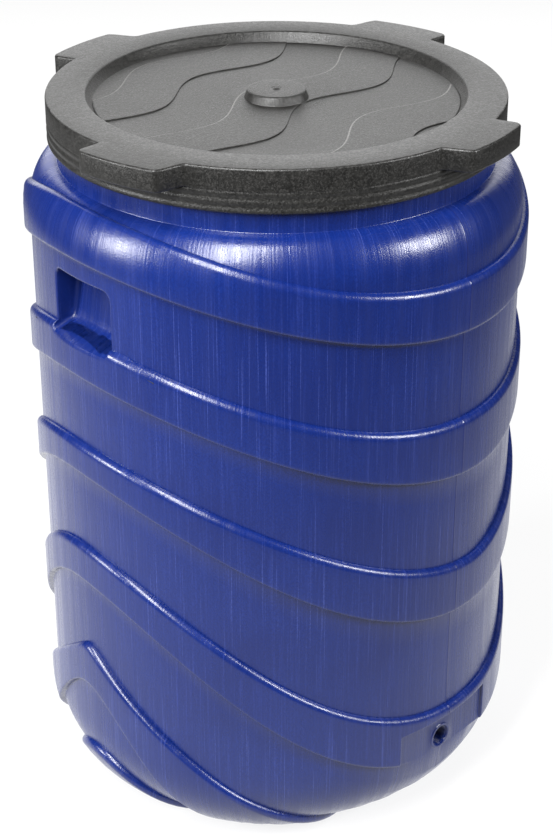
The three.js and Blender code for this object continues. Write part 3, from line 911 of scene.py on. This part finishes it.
BLUE_DEEP = (0.0030, 0.0125, 0.106, 1)
BLUE_BRIGHT = (0.0040, 0.0165, 0.130, 1)
BLUE_FINE_STREAK = (0.03, 0.055, 0.30, 1)
BLUE_HAIR_STREAK = (0.06, 0.09, 0.34, 1)
BLUE_GRAIN = (0.0016, 0.008, 0.08, 1)
# Dark blue painted as shade along the seam's ridge
BLUE_SEAM_SHADE = (0.002, 0.005, 0.07, 1)
CHARCOAL_DEEP = (0.005, 0.0049, 0.0045, 1)
CHARCOAL_BRIGHT = (0.014, 0.0137, 0.0128, 1)
CHARCOAL_GRAIN = (0.028, 0.0273, 0.0255, 1)
# Pale colour painted on the strip edges as a highlight
CHARCOAL_PAINTED_HIGHLIGHT = (0.17, 0.167, 0.16, 1)
RUBBER_DEEP = (0.012, 0.012, 0.012, 1)
RUBBER_BRIGHT = (0.025, 0.025, 0.025, 1)


class Nodes:
    """A short way to build a node tree."""

    def __init__(self, name):
        self.material = bpy.data.materials.new(name)
        self.material.use_nodes = True
        self.tree = self.material.node_tree
        self.shader = self.tree.nodes["Principled BSDF"]

    def add(self, kind, settings=None, **inputs):
        node = self.tree.nodes.new(kind)
        for key, value in (settings or {}).items():
            setattr(node, key, value)
        for key, value in inputs.items():
            self.set(node.inputs[key.replace("_", " ")], value)
        return node

    def set(self, socket, value):
        if isinstance(value, bpy.types.NodeSocket):
            self.tree.links.new(value, socket)
        else:
            socket.default_value = value

    def math(self, operation, a, b=0.0):
        node = self.add("ShaderNodeMath", {"operation": operation})
        self.set(node.inputs[0], a)
        self.set(node.inputs[1], b)
        return node.outputs[0]

    def times(self, a, b):
        return self.math("MULTIPLY", a, b)

    def mix(self, share, a, b):
        node = self.tree.nodes.new("ShaderNodeMix")
        node.data_type = "RGBA"
        self.set(node.inputs["Factor"], share)
        self.set(node.inputs[6], a)
        self.set(node.inputs[7], b)
        return node.outputs[2]

    def over(self, below, colour, share, strength):
        """A colour laid over another one, by a share times a strength."""
        return self.mix(self.times(share, strength), below, colour)

    def band(self, value, low, high, to_low=0.0, to_high=1.0):
        node = self.add("ShaderNodeMapRange", {"interpolation_type": "SMOOTHSTEP"})
        for socket, number in zip(node.inputs, (value, low, high, to_low, to_high)):
            self.set(socket, number)
        return node.outputs[0]

    def noise(self, vector, scale, detail=2.0, roughness=0.5):
        node = self.add("ShaderNodeTexNoise", Scale=scale, Detail=detail, Roughness=roughness)
        self.set(node.inputs["Vector"], vector)
        return node.outputs["Fac"]

    def vector(self, x, y, z):
        node = self.tree.nodes.new("ShaderNodeCombineXYZ")
        for socket, value in zip(node.inputs, (x, y, z)):
            self.set(socket, value)
        return node.outputs[0]

    def stretched(self, x, y, z, x_scale, y_scale):
        """A place whose first two axes are scaled, so that noise on it is drawn out into streaks."""
        return self.vector(self.times(x, x_scale), self.times(y, y_scale), z)

    def bump(self, height, strength, distance, normal=None):
        node = self.add("ShaderNodeBump", Strength=strength, Distance=distance)
        self.set(node.inputs["Height"], height)
        if normal is not None:
            self.set(node.inputs["Normal"], normal)
        return node.outputs[0]

    def round_the_axis(self):
        """The place itself, the arc length round the barrel, the height and the radius, in metres."""
        place = self.tree.nodes.new("ShaderNodeTexCoord").outputs["Object"]
        split = self.tree.nodes.new("ShaderNodeSeparateXYZ")
        self.set(split.inputs[0], place)
        x, y, z = split.outputs
        turned = self.math("ARCTAN2", x, self.times(y, -1.0))
        arc_length = self.times(turned, WALL_RADIUS * MM)
        radius = self.math("SQRT", self.math("ADD", self.times(x, x), self.times(y, y)))
        return place, arc_length, z, radius


def blue_plastic():
    """Glossy blue polyethylene with upright streaks, fine grain and a painted shade line along the front
    seam's ridge.
    """
    n = Nodes("blue_hdpe")
    place, around, height, radius = n.round_the_axis()
    hair_streak = n.noise(n.stretched(around, height, 0.0, 900.0, 4.0), 1.0, 2.0, 0.5)
    fine_streak = n.noise(n.stretched(around, height, radius, 420.0, 9.0), 1.0, 3.0, 0.6)
    wide_streak = n.noise(n.stretched(around, height, radius, 110.0, 2.0), 1.0, 2.0, 0.5)
    cloud = n.noise(place, 7.0, 3.0, 0.55)
    grain = n.noise(place, 430.0, 2.0, 0.7)
    # Painted shade: a thin dark line along the seam's ridge
    seam_shade = n.band(n.math("ABSOLUTE", around), 0.0003, 0.0011, 1.0, 0.0)
    tint = n.mix(n.band(cloud, 0.3, 0.7), BLUE_DEEP, BLUE_BRIGHT)
    tint = n.over(tint, BLUE_FINE_STREAK, n.band(fine_streak, 0.50, 0.72), 0.18)
    tint = n.over(tint, BLUE_HAIR_STREAK, n.band(hair_streak, 0.62, 0.70), 0.50)
    tint = n.over(tint, BLUE_GRAIN, n.band(grain, 0.4, 0.6), 0.45)
    # The seam's ridge is real; its dark line is painted shade
    tint = n.over(tint, BLUE_SEAM_SHADE, seam_shade, 0.6)
    n.set(n.shader.inputs["Base Color"], tint)
    rough = n.math("ADD", n.band(wide_streak, 0.3, 0.75, 0.20, 0.30), n.times(grain, 0.07))
    n.set(n.shader.inputs["Roughness"], rough)
    n.set(n.shader.inputs["Specular IOR Level"], 0.55)
    relief = n.bump(fine_streak, 0.40, 0.0006)
    relief = n.bump(wide_streak, 0.12, 0.0018, relief)
    relief = n.bump(grain, 0.36, 0.0004, relief)
    n.set(n.shader.inputs["Normal"], relief)
    return n.material


def charcoal_plastic():
    """Satin charcoal plastic with coarse grain, and a painted pale highlight on the far edges of the
    panel's strips.
    """
    n = Nodes("charcoal_pp")
    place, around, height, _ = n.round_the_axis()
    grain = n.noise(place, 450.0, 2.0, 0.7)
    mottle = n.noise(place, 150.0, 3.0, 0.6)
    hatch = n.noise(n.stretched(around, height, 0.0, 900.0, 60.0), 1.0, 2.0)
    painted_highlight = n.add("ShaderNodeAttribute", {"attribute_name": "painted_highlight"}).outputs["Fac"]
    shade = n.mix(n.band(mottle, 0.3, 0.72), CHARCOAL_DEEP, CHARCOAL_BRIGHT)
    shade = n.over(shade, CHARCOAL_GRAIN, n.band(grain, 0.50, 0.64), 0.7)
    # Painted highlight: the marked strip edges are laid over with a pale colour
    shade = n.over(shade, CHARCOAL_PAINTED_HIGHLIGHT, painted_highlight, 0.5)
    n.set(n.shader.inputs["Base Color"], shade)
    n.set(n.shader.inputs["Roughness"], n.band(grain, 0.3, 0.7, 0.32, 0.50))
    relief = n.bump(grain, 0.7, 0.0005)
    relief = n.bump(mottle, 0.30, 0.0010, relief)
    relief = n.bump(hatch, 0.30, 0.0006, relief)
    n.set(n.shader.inputs["Normal"], relief)
    return n.material


def gasket_rubber():
    """Dull black rubber with a little grain."""
    n = Nodes("gasket_rubber")
    place = n.round_the_axis()[0]
    grain = n.noise(place, 700.0, 2.0, 0.6)
    n.set(n.shader.inputs["Base Color"], n.mix(grain, RUBBER_DEEP, RUBBER_BRIGHT))
    n.set(n.shader.inputs["Roughness"], 0.75)
    n.set(n.shader.inputs["Normal"], n.bump(grain, 0.2, 0.0002))
    return n.material


# ---- Pieces ----


def build_pieces():
    """The three pieces of the barrel, each with its material."""
    body = make_piece("barrel_shell", *barrel_body(), "barrel", "barrel_body", "barrel_plastic")
    body.data.materials.append(blue_plastic())
    lid = make_piece("threaded_lid", *screw_lid(), "lid", "screw_lid", "lid_plastic")
    lid.data.materials.append(charcoal_plastic())
    # Marks the strip edges that get the painted highlight
    paint_strip_highlights(lid)
    seal = make_piece("rim_gasket", *lid_gasket(), "seal", "lid_gasket", "gasket_rubber")
    seal.data.materials.append(gasket_rubber())


# ---- Studio ----

WHITE = (1, 1, 1, 1)
VIEW_AZIMUTH = rad(-46)
VIEW_DISTANCE = 2.122
VIEW_HEIGHT = 1.5753
VIEW_PITCH = rad(28.03)
VIEW_LENS = 83.9
VIEW_SENSOR = 36
WORLD_LIGHT = 0.05
FLOOR_REACH = 30
FLOOR_COLOUR = (0.9, 0.9, 0.9, 1)
FLOOR_GLOW_CENTRE = (0.1, 0.5, 0.0)
FLOOR_GLOW_REACH = 2.5
FLOOR_GLOW = 1.5
FLOOR_FAR = 0.1
FLOOR_SHADOWLESS = 0.85


def split_by_camera(tree, seen, unseen):
    """A shader that the camera sees one way and every other ray another way."""
    path = tree.nodes.new("ShaderNodeLightPath")
    mix = tree.nodes.new("ShaderNodeMixShader")
    tree.links.new(path.outputs["Is Camera Ray"], mix.inputs[0])
    tree.links.new(unseen, mix.inputs[1])
    tree.links.new(seen, mix.inputs[2])
    return mix.outputs[0]


def pale_floor():
    """A floor that the camera sees as near-white with a faint shadow.

    Every other ray meets a glow round a spot behind the barrel, which dims further out.
    """
    n = Nodes("pale_floor")
    place = n.add("ShaderNodeNewGeometry").outputs["Position"]
    away = n.add("ShaderNodeVectorMath", {"operation": "DISTANCE"})
    n.set(away.inputs[0], place)
    n.set(away.inputs[1], FLOOR_GLOW_CENTRE)
    strength = n.band(away.outputs["Value"], 0.0, FLOOR_GLOW_REACH, FLOOR_GLOW, FLOOR_FAR)
    glow = n.add("ShaderNodeEmission", Strength=strength)
    white = n.add("ShaderNodeEmission", Strength=1.0)
    n.set(n.shader.inputs["Base Color"], FLOOR_COLOUR)
    n.set(n.shader.inputs["Roughness"], 0.9)
    faint = n.add("ShaderNodeMixShader")
    faint.inputs[0].default_value = FLOOR_SHADOWLESS
    n.tree.links.new(n.shader.outputs[0], faint.inputs[1])
    n.tree.links.new(white.outputs[0], faint.inputs[2])
    surface = split_by_camera(n.tree, faint.outputs[0], glow.outputs[0])
    n.tree.links.new(surface, n.tree.nodes["Material Output"].inputs["Surface"])
    return n.material


def add_floor():
    """A wide square floor at the barrel's foot."""
    corners = [(-FLOOR_REACH, -FLOOR_REACH, 0), (FLOOR_REACH, -FLOOR_REACH, 0)]
    corners += [(FLOOR_REACH, FLOOR_REACH, 0), (-FLOOR_REACH, FLOOR_REACH, 0)]
    mesh = bpy.data.meshes.new("floor")
    mesh.from_pydata(corners, [], [(0, 1, 2, 3)])
    mesh.materials.append(pale_floor())
    floor = bpy.data.objects.new("floor", mesh)
    bpy.context.scene.collection.objects.link(floor)


def add_backdrop():
    """A world that is white to the camera and nearly dark to every other ray."""
    world = bpy.data.worlds.new("studio")
    world.use_nodes = True
    tree = world.node_tree
    dim = tree.nodes["Background"]
    dim.inputs[0].default_value = WHITE
    dim.inputs[1].default_value = WORLD_LIGHT
    white = tree.nodes.new("ShaderNodeBackground")
    white.inputs[0].default_value = WHITE
    split = split_by_camera(tree, white.outputs[0], dim.outputs[0])
    tree.links.new(split, tree.nodes["World Output"].inputs["Surface"])
    bpy.context.scene.world = world


def add_softbox(name, azimuth, distance, height, size, power, aim=0.45):
    """A soft rectangular lamp that faces a point on the barrel's axis, at the height of its aim."""
    light = bpy.data.lights.new(name, "AREA")
    light.shape = "RECTANGLE"
    light.size, light.size_y = size
    light.energy = power
    lamp = bpy.data.objects.new(name, light)
    lamp.location = Vector(at_azimuth(distance, rad(azimuth), height))
    lamp.rotation_euler = (Vector((0, 0, aim)) - lamp.location).to_track_quat("-Z", "Y").to_euler()
    lamp.visible_camera = False
    bpy.context.scene.collection.objects.link(lamp)


def add_camera():
    """The camera, looking at the barrel's axis from above."""
    data = bpy.data.cameras.new("camera")
    data.lens = VIEW_LENS
    data.sensor_width = VIEW_SENSOR
    camera = bpy.data.objects.new("camera", data)
    camera.location = Vector(at_azimuth(VIEW_DISTANCE, VIEW_AZIMUTH, VIEW_HEIGHT))
    camera.rotation_euler = (np.pi / 2 - VIEW_PITCH, 0, VIEW_AZIMUTH)
    bpy.context.scene.collection.objects.link(camera)
    bpy.context.scene.camera = camera


def studio():
    """The floor, the backdrop, four softboxes and the camera; lengths are in metres."""
    add_floor()
    add_backdrop()
    add_softbox("key_softbox", -114, 2.6, 1.35, (0.42, 0.9), 68)
    add_softbox("fill_softbox", 22, 2.8, 1.85, (0.6, 1.0), 84)
    add_softbox("front_softbox", -69, 1.9, 2.65, (0.55, 2.2), 165, 0.8)
    add_softbox("back_softbox", 134, 3.0, 2.1, (4.4, 3.2), 90, 0.9)
    add_camera()
    bpy.context.scene.view_settings.view_transform = "Standard"


build_pieces()
studio()
